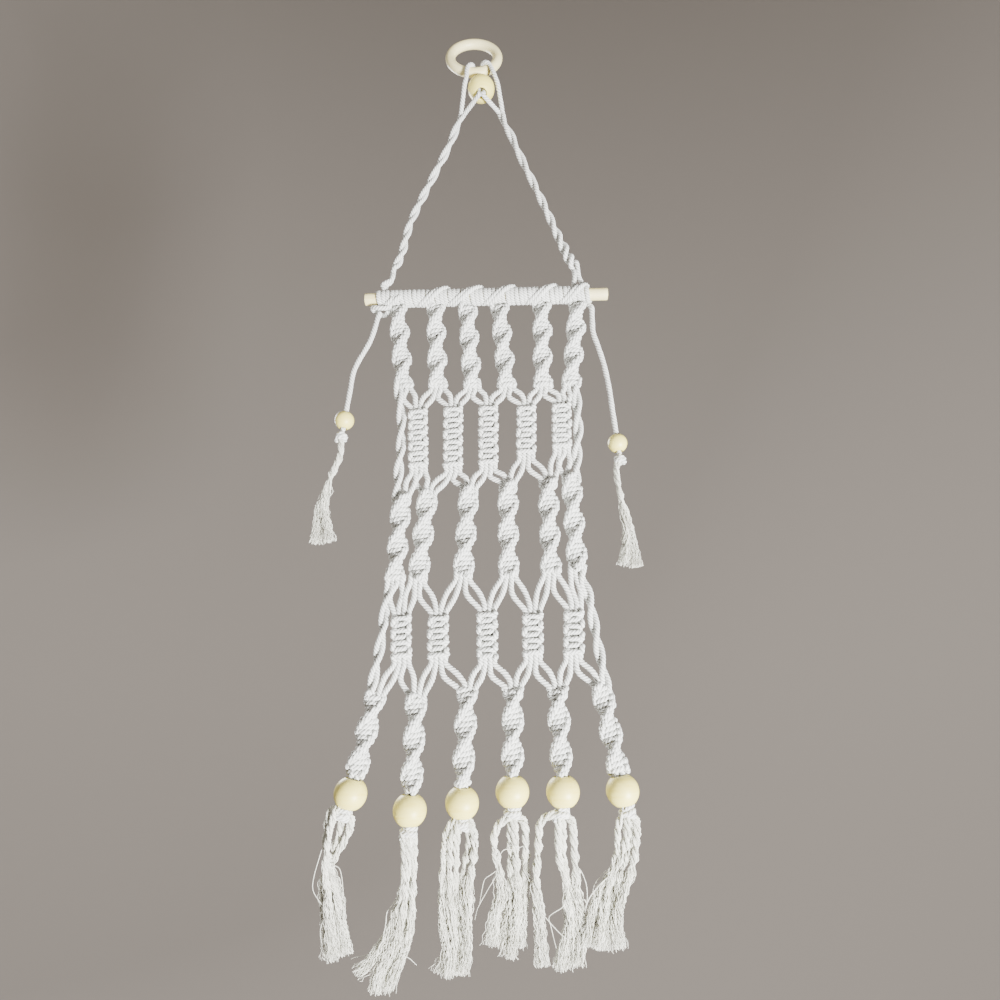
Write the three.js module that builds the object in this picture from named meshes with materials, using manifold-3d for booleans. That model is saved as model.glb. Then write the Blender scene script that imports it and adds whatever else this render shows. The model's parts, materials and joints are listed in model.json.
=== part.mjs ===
// A knotted cotton wall hanging: a wooden ring, a bead and a two-legged hanger carry a dowel,
// and a net of knotted sinnets hangs from the dowel and ends in beads and tassels.
//
// Millimetres, +Z up. The front faces -Y and +X is on the viewer's right.
// The origin is the inside top of the ring, where a hook holds the hanging.
// Every cord lies near the plane y = 0, so most routes are given as [x, z] points.

import * as THREE from 'three';
import { mergeVertices } from 'three/addons/utils/BufferGeometryUtils.js';
import Module from 'manifold-3d';

// ---------------------------------------------------------------- driving dimensions

const CORD = 4; // three-ply cotton cord
const PAIR = 5.8; // the plain tube that stands for two cords lying side by side
const TWISTED_PAIR = 6.6; // the tube that stands for two cords laid round each other
const GAP = 0.3; // clearance between pieces that touch
const FOLD_GAP = 2.5; // free cord on each side of a line where the net folds
const LAP = 3; // how far a cord runs on inside the knots that it joins

const RING_OUTER = 48.5;
const RING_TUBE = 8.2;
const RING_LEAN = THREE.MathUtils.degToRad(14); // the ring's foot stands forward of its top

const BEAD = 22.2;
const BEAD_BORE = 10;
const SMALL_BEAD = 14.4;
const SMALL_BORE = 5.2;
const TOP_BEAD_AT = [6.5, -7.6, -50.6];
const TOP_BEAD_LEAN = THREE.MathUtils.degToRad(27); // its lower mouth looks forward

const DOWEL = 9.5;
const DOWEL_LENGTH = 190;
const DOWEL_AT = [11.5, 0, -239.8];
const DOWEL_RISE = THREE.MathUtils.degToRad(1.5); // the right end hangs a little higher
const WRAP_OUTER = 14;
const WRAP_FROM = -76;
const WRAP_TO = 92;

const SPIRAL_WIDTH = 15.6;
const SPIRAL_DEPTH = 8.4;
const HALF_TURN = 22; // length in which a spiral sinnet makes half a turn
const SQUARE_WIDTH = 14.4;
const SQUARE_DEPTH = 9;

const CORE = 8.4; // the bundle of cords inside a large bead
const KNOT = 11.5; // overhand knot under a large bead
const SMALL_KNOT = 8.8;
const SIDE_TASSEL_DEPTH = 6.5;

// Each row of the net from left to right, as [top x, top z, bottom x, bottom z].
const ROW_1 = [
  [-57.5, -250, -51, -314],
  [-28, -250, -25, -314],
  [-3, -249.5, 1, -314],
  [22, -249, 27.5, -314],
  [55, -248, 55, -314],
  [83, -247.5, 76.5, -314],
];
const ROW_2 = [
  [-39.5, -333, -38, -379],
  [-13, -331, -12.5, -379],
  [13.5, -330, 13.5, -377],
  [42, -330, 41.5, -369],
  [68.5, -328, 68, -364],
];
const ROW_3 = [
  [-49.5, -403, -52.5, -461.5],
  [-30.5, -400.5, -36, -462],
  [-0.5, -397, -4, -459.5],
  [28, -393.5, 28.5, -458],
  [57.5, -390.5, 58.5, -456],
  [74.5, -388, 77.5, -455],
];
const ROW_4 = [
  [-47, -486.5, -46, -514],
  [-21, -486.5, -20.5, -513.5],
  [13, -484, 13.5, -514],
  [45, -485, 45, -512],
  [74, -483, 73, -511.5],
];
const ROW_5 = [
  [-63, -543, -74.5, -594.5],
  [-35, -544.5, -37, -604.5],
  [-0.5, -541, -2.5, -600],
  [31, -539.5, 30.5, -593],
  [61.5, -539.5, 63.5, -593],
  [91.5, -536.5, 101.5, -592.5],
];

// ---------------------------------------------------------------- helpers

const wasm = await Module();
wasm.setup();

const hanging = new THREE.Group();

const COTTON = { color: 0xd6dcd8, roughness: 0.95, metalness: 0 };
const PALE_WOOD = { color: 0xefe2c4, roughness: 0.55, metalness: 0 };

function addPiece(name, geometry, finish) {
  const mesh = new THREE.Mesh(geometry, new THREE.MeshStandardMaterial(finish));
  mesh.name = name;
  hanging.add(mesh);
  return mesh;
}

const vector = (point) => new THREE.Vector3(...point);
const inPlane = (points) => points.map(([x, z]) => new THREE.Vector3(x, 0, z));

// A closed solid along a centre line that runs mostly downwards: a cylinder whose rings are
// moved onto the line. Width lies across the front, depth from front to back; both may be
// functions of t, which is 0 at the top and 1 at the bottom. The section turns by `turn`.
function bentSolid(line, { sides, steps, width, depth, turn = 0 }) {
  const curve = line.length > 2 ? new THREE.CatmullRomCurve3(line) : new THREE.LineCurve3(...line);
  const geometry = new THREE.CylinderGeometry(1, 1, 1, sides, steps);
  const position = geometry.attributes.position;
  const valueAt = (size, t) => (typeof size === 'function' ? size(t) : size);
  const back = new THREE.Vector3(0, 1, 0);
  for (let i = 0; i < position.count; i++) {
    const t = THREE.MathUtils.clamp(0.5 - position.getY(i), 0, 1);
    const up = curve.getTangentAt(t).negate();
    const across = back.clone().cross(up).normalize();
    const front = across.clone().cross(up);
    const offset = new THREE.Vector2(
      (position.getX(i) * valueAt(width, t)) / 2,
      (position.getZ(i) * valueAt(depth, t)) / 2,
    ).rotateAround(new THREE.Vector2(), turn * t);
    const point = curve.getPointAt(t).addScaledVector(across, offset.x).addScaledVector(front, offset.y);
    position.setXYZ(i, point.x, point.y, point.z);
  }
  return geometry;
}

// A round cord of constant thickness along a smooth route.
function cordSolid(route, diameter, sides, steps) {
  const section = new THREE.Shape();
  section.absarc(0, 0, diameter / 2, 0, 2 * Math.PI);
  return new THREE.ExtrudeGeometry(section, {
    steps,
    curveSegments: sides / 2,
    extrudePath: new THREE.CatmullRomCurve3(route),
  });
}

function toSolid(geometry) {
  const bare = geometry.clone();
  bare.deleteAttribute('normal');
  bare.deleteAttribute('uv');
  const merged = mergeVertices(bare, 1e-4);
  return new wasm.Manifold(new wasm.Mesh({
    numProp: 3,
    vertProperties: new Float32Array(merged.attributes.position.array),
    triVerts: new Uint32Array(merged.index.array),
  }));
}

function toGeometry(solid) {
  const { vertProperties, triVerts } = solid.getMesh();
  const geometry = new THREE.BufferGeometry();
  geometry.setAttribute('position', new THREE.BufferAttribute(vertProperties, 3));
  geometry.setIndex(new THREE.BufferAttribute(triVerts, 1));
  geometry.computeVertexNormals();
  return geometry;
}

const joined = (geometries) => toGeometry(geometries.map(toSolid).reduce((all, next) => all.add(next)));

// A ball with a hole along its own Z axis.
function beadGeometry(diameter, bore) {
  const rim = Math.asin(bore / diameter);
  const profile = [];
  const ARC_STEPS = 6;
  for (let i = 0; i <= ARC_STEPS; i++) {
    const angle = rim + ((Math.PI - 2 * rim) * i) / ARC_STEPS;
    profile.push(new THREE.Vector2((diameter / 2) * Math.sin(angle), -(diameter / 2) * Math.cos(angle)));
  }
  profile.push(profile[0].clone());
  const geometry = new THREE.LatheGeometry(profile, 12);
  geometry.rotateX(Math.PI / 2);
  return geometry;
}

function ball(centre, diameter) {
  const geometry = new THREE.IcosahedronGeometry(diameter / 2, 1);
  geometry.translate(...centre);
  return geometry;
}

// Angle from straight down, towards +X, of the line from one [x, z] point to another.
const leanOf = ([x0, z0], [x1, z1]) => Math.atan2(x1 - x0, z0 - z1);

// ---------------------------------------------------------------- ring and top bead

function addRing() {
  const tube = RING_TUBE / 2;
  const middle = RING_OUTER / 2 - tube;
  const profile = [];
  const TUBE_STEPS = 8;
  for (let i = 0; i <= TUBE_STEPS; i++) {
    const angle = (2 * Math.PI * i) / TUBE_STEPS;
    profile.push(new THREE.Vector2(middle + tube * Math.cos(angle), tube * Math.sin(angle)));
  }
  const ring = addPiece('ring', new THREE.LatheGeometry(profile, 28), PALE_WOOD);
  const drop = middle - tube;
  ring.rotation.x = -RING_LEAN;
  ring.position.set(0, -drop * Math.sin(RING_LEAN), -drop * Math.cos(RING_LEAN));
}

function addTopBead() {
  const bead = addPiece('top_bead', beadGeometry(BEAD, BEAD_BORE), PALE_WOOD);
  bead.rotation.x = -TOP_BEAD_LEAN;
  bead.position.set(...TOP_BEAD_AT);
}

// ---------------------------------------------------------------- hanger

// Each leg is two cords. One runs up in front beside the bead, over the ring's lower rim and
// down behind it; it comes back through the bead and joins the leg again.
function addHangerCord(name, side, overRim, beside, leg) {
  const axis = new THREE.Vector3(0, -Math.sin(TOP_BEAD_LEAN), -Math.cos(TOP_BEAD_LEAN));
  const boreOffset = new THREE.Vector3(side * (CORD / 2 + GAP), 0, 0);
  const boreAt = (along) => vector(TOP_BEAD_AT).add(boreOffset).addScaledVector(axis, along);
  const join = vector(leg[0]);
  const spread = new THREE.Vector3(side * CORD * 0.6, 0, 0); // away from the bore, towards the leg
  const loop = [
    join,
    ...beside.map(vector),
    ...overRim.map(vector),
    boreAt(-BEAD / 2 - GAP),
    boreAt(0),
    boreAt(BEAD / 2),
    boreAt(BEAD / 2 + CORD).add(spread),
    join.clone().add(new THREE.Vector3(-side * GAP, 0, -LAP)),
  ];
  const legLine = leg.map(vector);
  const parts = [
    cordSolid(loop, CORD, 6, 36),
    bentSolid(legLine, { sides: 6, steps: 12, width: TWISTED_PAIR, depth: TWISTED_PAIR }),
  ];
  addPiece(name, joined(parts), COTTON);
}

// ---------------------------------------------------------------- dowel

function addDowel() {
  const rod = new THREE.CylinderGeometry(DOWEL / 2, DOWEL / 2, DOWEL_LENGTH, 20);
  const dowel = addPiece('dowel', rod, PALE_WOOD);
  dowel.rotation.z = -Math.PI / 2;
  const turned = new THREE.Group();
  turned.rotation.y = -DOWEL_RISE;
  turned.position.set(...DOWEL_AT);
  turned.add(dowel);

  const inner = DOWEL / 2 + GAP;
  const outer = WRAP_OUTER / 2;
  const length = (WRAP_TO - WRAP_FROM) / Math.cos(DOWEL_RISE);
  const profile = [
    [inner, 0],
    [outer, 0],
    [outer, length],
    [inner, length],
    [inner, 0],
  ].map(([radius, along]) => new THREE.Vector2(radius, along));
  const wrap = addPiece('dowel_wrap', new THREE.LatheGeometry(profile, 20), COTTON);
  wrap.rotation.z = -Math.PI / 2;
  wrap.position.x = WRAP_FROM - DOWEL_AT[0];
  turned.add(wrap);
  hanging.add(turned);
}

// ---------------------------------------------------------------- the net

function spiralSolid([topX, topZ, bottomX, bottomZ]) {
  const line = inPlane([[topX, topZ], [bottomX, bottomZ]]);
  const turn = (Math.PI * (topZ - bottomZ)) / HALF_TURN;
  return bentSolid(line, { sides: 6, steps: 10, width: SPIRAL_WIDTH, depth: SPIRAL_DEPTH, turn });
}

// A row of spiral half-knot sinnets, each a flat band that turns as it goes down.
function addSpirals(row, places) {
  places.forEach((place, i) => addPiece(`spiral_${row}_${i + 1}`, spiralSolid(place), COTTON));
}

// Two cords that leave a sinnet's end at `from` and swing over to the next one at `to`.
function linkSolid(from, to) {
  const [x0, z0] = from;
  const [x1, z1] = to;
  const ACROSS = 0.72; // most of the way across is done in the first half of the way down
  const bend = [x0 + (x1 - x0) * ACROSS, (z0 + z1) / 2];
  return bentSolid(inPlane([from, bend, to]), { sides: 6, steps: 3, width: PAIR, depth: CORD + GAP });
}

// A row of square-knot sinnets. Each one holds the pairs of cords that come down to it from
// the two spirals above and the pairs that go on to the two spirals below.
function addSquares(row, places, above, below) {
  const HALF = SQUARE_WIDTH / 2 - PAIR / 2;
  const SPREAD = PAIR / 2 + GAP;
  places.forEach(([topX, topZ, bottomX, bottomZ], i) => {
    const body = bentSolid(inPlane([[topX, topZ], [bottomX, bottomZ]]), {
      sides: 8,
      steps: 1,
      width: SQUARE_WIDTH,
      depth: SQUARE_DEPTH,
    });
    const parts = [body];
    for (const side of [-1, 1]) {
      const [, , aboveX, aboveZ] = above[side < 0 ? i : i + 1];
      const [belowX, belowZ] = below[side < 0 ? i : i + 1];
      const up = [aboveX - side * SPREAD, aboveZ - 2 * FOLD_GAP];
      const down = [belowX - side * SPREAD, belowZ + 2 * FOLD_GAP];
      parts.push(linkSolid(up, [topX + side * HALF, topZ - LAP]));
      parts.push(linkSolid([bottomX + side * HALF, bottomZ + LAP], down));
    }
    addPiece(`square_${row}_${i + 1}`, joined(parts), COTTON);
  });
}

// Two cords laid round each other down the side of the net, past a row of square knots.
function addEdgePair(name, route) {
  addPiece(name, cordSolid(inPlane(route), TWISTED_PAIR, 6, 7), COTTON);
}

// ---------------------------------------------------------------- lower strands

// Point at a distance beyond a sinnet's lower end, along its own line.
function beyond([topX, topZ, bottomX, bottomZ], distance) {
  const lean = leanOf([topX, topZ], [bottomX, bottomZ]);
  return [bottomX + distance * Math.sin(lean), bottomZ - distance * Math.cos(lean)];
}

const BEAD_DROP = BEAD / 2 + GAP; // from a sinnet's lower end to the middle of its bead
const KNOT_DROP = BEAD_DROP + BEAD / 2 + KNOT / 2 - 2 * GAP; // the knot closes the bore's mouth

// Sinnet, the cords inside the bead and the overhand knot below it are one run of cord.
function addLowerStrand(place, i) {
  const [, , bottomX, bottomZ] = place;
  const knotAt = beyond(place, KNOT_DROP);
  const coreLine = inPlane([beyond(place, -LAP), knotAt]);
  const core = bentSolid(coreLine, { sides: 8, steps: 1, width: CORE, depth: CORE });
  const knot = ball([knotAt[0], 0, knotAt[1]], KNOT);
  addPiece(`spiral_5_${i + 1}`, joined([spiralSolid(place), core, knot]), COTTON);

  const bead = addPiece(`bead_${i + 1}`, beadGeometry(BEAD, BEAD_BORE), PALE_WOOD);
  const [x, z] = beyond(place, BEAD_DROP);
  bead.rotation.y = -leanOf([bottomX, bottomZ], [x, z]);
  bead.position.set(x, 0, z);
}

// Unravelled cords: a soft bundle whose width changes down its length.
function addTassel(name, route, widths, depth) {
  const widthAt = (t) => {
    const place = t * (widths.length - 1);
    const low = Math.min(Math.floor(place), widths.length - 2);
    return THREE.MathUtils.lerp(widths[low], widths[low + 1], place - low);
  };
  const shape = { sides: 8, steps: 6, width: widthAt, depth };
  addPiece(name, bentSolid(inPlane(route), shape), COTTON);
}

// ---------------------------------------------------------------- side strands

function addSideStrand(side, route, tassel, widths) {
  const end = route.at(-1);
  const lean = leanOf(route.at(-2), end);
  const along = (distance) => [end[0] + distance * Math.sin(lean), end[1] - distance * Math.cos(lean)];
  addPiece(`side_cord_${side}`, cordSolid(inPlane(route), CORD, 8, 14), COTTON);

  const bead = addPiece(`side_bead_${side}`, beadGeometry(SMALL_BEAD, SMALL_BORE), PALE_WOOD);
  const [x, z] = along(-SMALL_BEAD / 2 - LAP / 3);
  bead.rotation.y = -lean;
  bead.position.set(x, 0, z);

  const knotAt = along(SMALL_KNOT / 2 + 2 * GAP);
  const knot = ball([knotAt[0], 0, knotAt[1]], SMALL_KNOT);
  const widthAt = (t) => THREE.MathUtils.lerp(...widths, t * t);
  const shape = { sides: 8, steps: 8, width: widthAt, depth: SIDE_TASSEL_DEPTH };
  addPiece(`side_tassel_${side}`, joined([knot, bentSolid(inPlane([knotAt, ...tassel]), shape)]), COTTON);
}

// ---------------------------------------------------------------- the whole hanging

addRing();
addTopBead();
addHangerCord(
  'hanger_cord_left',
  -1,
  [[-1, -16.6, -38], [0, -14.5, -29.3], [1.5, -9, -27.2], [3.2, -2.5, -30]],
  [[-9.5, -7, -64.5], [-8.4, -11, -55.5], [-5.8, -14.5, -45.5]],
  [
    [-11, -3.5, -75], [-17.5, 0, -100], [-30, 0, -124], [-41, 0, -150], [-50.5, 0, -175],
    [-56.5, 0, -205], [-63, 0, -216], [-67.5, 0, -233.5],
  ],
);
addHangerCord(
  'hanger_cord_right',
  1,
  [[15, -17.2, -36], [12.6, -16.6, -27.6], [9.4, -7.2, -22.8], [9, 0.4, -28]],
  [[23.4, -5, -66], [22.4, -8.5, -58], [20.4, -12, -49], [17, -14.6, -42]],
  [
    [25, -2, -76], [31.5, 0, -89.5], [39, 0, -110.5], [46.5, 0, -129], [55.5, 0, -151],
    [62.5, 0, -169], [69.5, 0, -186.5], [76.5, 0, -198], [81, 0, -217], [84, 0, -229.8],
  ],
);
addDowel();

addSpirals(1, ROW_1);
addSquares(2, ROW_2, ROW_1, ROW_3);
addEdgePair('edge_pair_2_left', [[-54.5, -319], [-52, -338], [-51.5, -362], [-52.5, -382], [-52.5, -398]]);
addEdgePair('edge_pair_2_right', [[80, -319], [80.5, -334], [80.8, -350], [79.5, -368], [78, -383]]);
addSpirals(3, ROW_3);
addSquares(4, ROW_4, ROW_3, ROW_5);
addEdgePair('edge_pair_4_left', [[-56, -466.5], [-58.5, -480], [-60, -500], [-63, -520], [-66.5, -538]]);
addEdgePair('edge_pair_4_right', [[81, -460], [85, -475], [88, -494], [91, -513], [96, -531.5]]);
ROW_5.forEach(addLowerStrand);

addTassel('tassel_1', [[-86, -630], [-88.8, -647], [-84.5, -675], [-78.5, -704]], [13, 9.5, 12, 20], 11);
addTassel('tassel_2', [[-38, -640], [-39, -660], [-41, -684], [-56, -716]], [9.5, 10, 11, 24], 9.5);
addTassel('tassel_3', [[-3.5, -635], [-4, -665], [-5, -690], [-6, -713]], [15, 22, 21, 20], 12);
addTassel('tassel_4', [[30, -628.5], [29.5, -655], [27.5, -678], [24, -704]], [13, 22, 24, 26], 12);
addTassel('tassel_5', [[64, -628.5], [62, -655], [60.5, -680], [59, -710]], [14, 26, 30, 31], 11);
addTassel('tassel_6', [[108, -628], [106, -648], [101, -670], [92.5, -698]], [12, 13, 17, 26], 12);

addSideStrand(
  'left',
  [[-71.5, -253.5], [-73, -258], [-75, -267], [-78, -277.5], [-82.5, -287], [-86.5, -295],
    [-90, -305], [-91.5, -318], [-93.5, -334], [-95.5, -351]],
  [[-95.5, -366], [-97, -377], [-102, -391], [-105, -406], [-105.5, -438]],
  [6.5, 17],
);
addSideStrand(
  'right',
  [[94, -249], [94, -260], [94.5, -271], [98, -283], [102, -298.5], [105, -317], [106.8, -334],
    [108.8, -352], [110.5, -369]],
  [[108, -381], [107.5, -392], [110.5, -404.5], [113, -419], [115.5, -455]],
  [6.5, 18],
);

export default hanging;
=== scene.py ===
# Looks of a knotted cotton wall hanging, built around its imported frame.
#
# Metres, +Z up, front towards -Y, +X on the viewer's right. The origin is the inside top of
# the ring. Every knot is a real crossing of three-ply cord: a working cord's way round the
# core cords is given once, in half knots, and repeated down each sinnet.

import json
import math

import bpy
import numpy as np
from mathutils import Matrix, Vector


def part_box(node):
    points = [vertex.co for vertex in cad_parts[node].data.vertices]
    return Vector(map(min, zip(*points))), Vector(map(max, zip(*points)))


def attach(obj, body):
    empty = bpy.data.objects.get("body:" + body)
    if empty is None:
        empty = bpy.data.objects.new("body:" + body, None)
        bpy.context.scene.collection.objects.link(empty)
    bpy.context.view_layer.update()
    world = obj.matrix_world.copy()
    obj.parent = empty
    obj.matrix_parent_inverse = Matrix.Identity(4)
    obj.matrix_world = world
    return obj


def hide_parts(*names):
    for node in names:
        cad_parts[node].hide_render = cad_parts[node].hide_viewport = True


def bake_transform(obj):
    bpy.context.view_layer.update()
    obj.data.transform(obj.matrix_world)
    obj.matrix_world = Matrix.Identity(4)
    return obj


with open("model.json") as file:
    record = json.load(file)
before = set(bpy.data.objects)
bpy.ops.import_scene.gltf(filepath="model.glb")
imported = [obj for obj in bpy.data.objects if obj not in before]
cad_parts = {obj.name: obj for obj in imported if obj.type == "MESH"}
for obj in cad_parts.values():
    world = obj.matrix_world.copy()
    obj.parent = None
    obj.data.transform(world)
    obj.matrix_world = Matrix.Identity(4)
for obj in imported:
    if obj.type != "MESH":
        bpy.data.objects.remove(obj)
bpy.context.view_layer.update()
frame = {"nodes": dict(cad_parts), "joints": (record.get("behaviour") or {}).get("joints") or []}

# ---- driving dimensions

CORD = 0.0040  # a free cord
KNOTTED_CORD = 0.0038  # a cord pressed into a knot
SPIRAL_CORD = 0.0040  # a working cord pressed flat in a spiral
LAY = 0.0072  # length in which a ply goes once round its cord
STEP = 0.0007  # distance between the rings of a cord's mesh
POINTS_ROUND = 12
PLY_SECTION = (1.0, 0.94, 0.76, 0.94)  # crown of a ply, flank, groove, flank
UNEVEN = 0.035  # share by which a cord's thickness comes and goes
END_WIDTH = 0.55  # a tube is rounded off to this share of its width
END_REACH = 0.35  # over this share of its radius

HALF_TURN = 0.0227  # length in which a spiral sinnet makes half a turn
SPIRAL_KNOT = 0.0038  # height of one half knot in a spiral
SPIRAL_SIDE = 0.0050  # from the middle of a spiral to the cords at its side
SPIRAL_FRONT = 0.0023  # and to the cords at its front
SQUARE_KNOT = 0.0041  # height of one half knot in a square-knot sinnet
SQUARE_SIDE = 0.0051
SQUARE_FRONT = 0.0034
SQUARE_BAR = 0.0034  # the cord drawn tight across the front of a square knot
CORE_SIDE = 0.0020  # the two core cords lie this far each side of the middle

RING_TUBE = 0.0082
DOWEL = 0.0095
BEAD_BORE = 0.0100
TOP_BORE = 0.0086  # the bore of the bead under the ring
SMALL_BORE = 0.0052  # the bores of the side beads
TOP_BEAD_LEAN = math.radians(27)

WRAP_PITCH = 0.00345
WRAP_CORD = 0.0038
WRAP_OUTER = 0.0070  # radius of the wrapped dowel
WRAP_PAST = 0.0022  # the last turn lies this far past the frame's solid

THREADS = 72  # in each strand of a tassel
THREAD = 0.00058
TASSEL_WIDTHS = (0.0028, 0.0042)  # half width of a strand at its knot and at its end
SIDE_TASSEL_WIDTHS = (0.0023, 0.0036)

FLOOR = -1.9
STUDIO = 2.6  # radius of the round studio whose floor sweeps up into its wall
SWEEP = 1.4  # radius of that sweep

# One working cord's way round the core: (half knots down, across, forward), where 1 is the
# full distance to the side or the front. A spiral's way over the front and down the right
# side is followed by the same way over the back and down the left side.
SPIRAL_FRONT_WAY = (
    (0.46, -0.80, 0.55),
    (0.40, -0.35, 1.05),
    (0.30, 0.15, 1.10),
    (0.22, 0.60, 0.75),
    (0.24, 0.98, 0.05),
    (0.50, 1.15, -0.30),
    (0.85, 1.15, 0.10),
    (1.15, 1.10, 0.75),
    (1.38, 1.02, 0.85),
)
SPIRAL_BACK_WAY = tuple((down + 1, -across, -forward) for down, across, forward in SPIRAL_FRONT_WAY)
SPIRAL_WAY = SPIRAL_FRONT_WAY + SPIRAL_BACK_WAY
SQUARE_FRONT_WAY = (
    (0.00, -0.90, 0.00),
    (0.34, -0.82, 0.62),
    (0.54, -0.42, 0.98),
    (0.48, 0.42, 0.98),
    (0.66, 0.82, 0.62),
    (1.00, 0.90, 0.00),
    (1.26, 0.82, 0.62),
    (1.44, 0.42, 0.98),
    (1.56, -0.42, 0.98),
    (1.74, -0.82, 0.62),
)
SQUARE_BACK_HALF = (
    (0.00, 1.06, 1.12),
    (0.30, 1.12, 0.92),
    (0.43, 1.02, 0.20),
    (0.50, 0.00, -1.00),
    (0.57, -1.02, 0.20),
    (0.70, -1.12, 0.92),
)
SQUARE_BACK_WAY = SQUARE_BACK_HALF + tuple(
    (down + 1, -across, forward) for down, across, forward in SQUARE_BACK_HALF
)
LOOSE = (0.03, 0.04, 0.05)  # how unevenly a way is followed: down, across and forward
PAST_END = 1.2  # half knots by which a way is drawn past its ends, to be cut off again

FORWARD = np.array([0.0, -1.0, 0.0])
chance = np.random.default_rng(7)

# ---- camera

# The photographer stood below the middle of the hanging and looked up at it.
CAMERA_AT = (0.0222, -0.5309, -0.5418)
CAMERA_TILT = math.radians(14.5)
CAMERA_LENS = 27.04  # millimetres, on a 36 mm sensor


def add_camera():
    camera = bpy.data.objects.new("camera", bpy.data.cameras.new("camera"))
    camera.data.lens = CAMERA_LENS
    camera.data.sensor_width = 36.0
    camera.location = CAMERA_AT
    camera.rotation_euler = (math.pi / 2 + CAMERA_TILT, 0.0, 0.0)
    bpy.context.scene.collection.objects.link(camera)
    bpy.context.scene.camera = camera


# ---- lines


def in_metres(points):
    return [np.array(point) / 1000 for point in points]


def plane_points(points, behind=0.0):
    """Points in metres from (x, z) pairs in millimetres, all as far behind the plane y = 0."""
    return in_metres((x, behind, z) for x, z in points)


def smooth(points, per_stretch=12):
    """A smooth line through the points."""
    p = np.asarray(points, float)
    p = np.vstack([2 * p[0] - p[1], p, 2 * p[-1] - p[-2]])
    t = np.linspace(0, 1, per_stretch, endpoint=False)[:, None]
    line = []
    for a, b, c, d in zip(p[:-3], p[1:-2], p[2:-1], p[3:]):
        cubic = (3 * b - a - 3 * c + d) * t**3
        square = (2 * a - 5 * b + 4 * c - d) * t**2
        line.append((2 * b + (c - a) * t + square + cubic) / 2)
    return np.vstack(line + [p[-2:-1]])


def evenly(line, step=STEP):
    """The same line with its points a step apart."""
    travelled = np.concatenate([[0], np.cumsum(np.linalg.norm(np.diff(line, axis=0), axis=1))])
    count = max(3, round(travelled[-1] / step))
    at = np.linspace(0, travelled[-1], count + 1)
    return np.stack([np.interp(at, travelled, axis) for axis in line.T], axis=1)


def length_of(line):
    return float(np.linalg.norm(np.diff(line, axis=0), axis=1).sum())


def frames_along(line):
    """Unit vectors along the line and two across it that turn as little as they can."""
    along = np.gradient(line, axis=0)
    along /= np.linalg.norm(along, axis=1)[:, None]
    start = np.cross(along[0], FORWARD)
    if np.linalg.norm(start) < 0.1:
        start = np.cross(along[0], (1.0, 0.0, 0.0))
    side = np.empty_like(along)
    side[0] = start / np.linalg.norm(start)
    for i in range(1, len(line)):
        kept = side[i - 1] - along[i] * np.dot(side[i - 1], along[i])
        side[i] = kept / np.linalg.norm(kept)
    return along, side, np.cross(along, side)


def twisted(line, radii, pitches, start=0.0):
    """Two lines that wind round one line; radii and pitches go from its start to its end."""
    line = evenly(smooth(line))
    _, side, other = frames_along(line)
    share = np.linspace(0, 1, len(line))
    radius = np.interp(share, np.linspace(0, 1, len(radii)), radii)
    pitch = np.interp(share, np.linspace(0, 1, len(pitches)), pitches)
    angle = start + np.cumsum(2 * math.pi * STEP / pitch)
    around = side * np.cos(angle)[:, None] + other * np.sin(angle)[:, None]
    return line + around * radius[:, None], line - around * radius[:, None]


# ---- cord meshes


class Cord:
    """A length of cord: its line, its thickness and how far its twist has come at its start."""

    def __init__(self, line, diameter=CORD, travelled=None):
        self.line = line
        self.diameter = diameter
        self.travelled = chance.uniform(0, LAY) if travelled is None else travelled

    def cut(self, height):
        """The cord above and the cord below a height; the cord runs downwards."""
        i = int(np.argmax(self.line[:, 2] < height))
        upper = Cord(self.line[: i + 1], self.diameter, self.travelled)
        lower = Cord(self.line[i:], self.diameter, self.travelled + i * STEP)
        return upper, lower


def cord(points, diameter=CORD):
    return Cord(evenly(smooth(points)), diameter)


def faces_between(rings, sides, closed=False):
    """Four-sided faces between rings of points that lie one after another."""
    ring = np.arange(rings if closed else rings - 1)[:, None]
    below, above = ring * sides, (ring + 1) % rings * sides
    here, following = np.arange(sides), (np.arange(sides) + 1) % sides
    corners = (below + here, below + following, above + following, above + here)
    return np.stack(corners, axis=-1).reshape(-1, 4)


def tube(line, radius, section, turn):
    """Rings of points along a line, with rounded ends, and the faces between them."""
    along, side, other = frames_along(line)
    sides = len(section)
    angle = np.arange(sides) * 2 * math.pi / sides + turn[:, None]
    reach = radius[:, None] * np.asarray(section)
    rings = (
        line[:, None]
        + side[:, None] * (np.cos(angle) * reach)[..., None]
        + other[:, None] * (np.sin(angle) * reach)[..., None]
    )
    inward = 1 - END_WIDTH
    first = rings[0] * END_WIDTH + line[0] * inward - along[0] * radius[0] * END_REACH
    last = rings[-1] * END_WIDTH + line[-1] * inward + along[-1] * radius[-1] * END_REACH
    rings = np.concatenate([first[None], rings, last[None]])
    angle = np.concatenate([angle[:1], angle, angle[-1:]])
    return rings.reshape(-1, 3), faces_between(len(rings), sides), angle


def gather(tubes, sides):
    """Several tubes as one mesh: its points, its four-sided faces and its end caps."""
    points, quads, caps = [], [], []
    first = 0
    for rings, faces in tubes:
        following = first + len(rings)
        points.append(rings)
        quads.append(faces + first)
        caps.append(range(first + sides - 1, first - 1, -1))
        caps.append(range(following - sides, following))
        first = following
    return np.vstack(points), np.vstack(quads), caps


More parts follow.
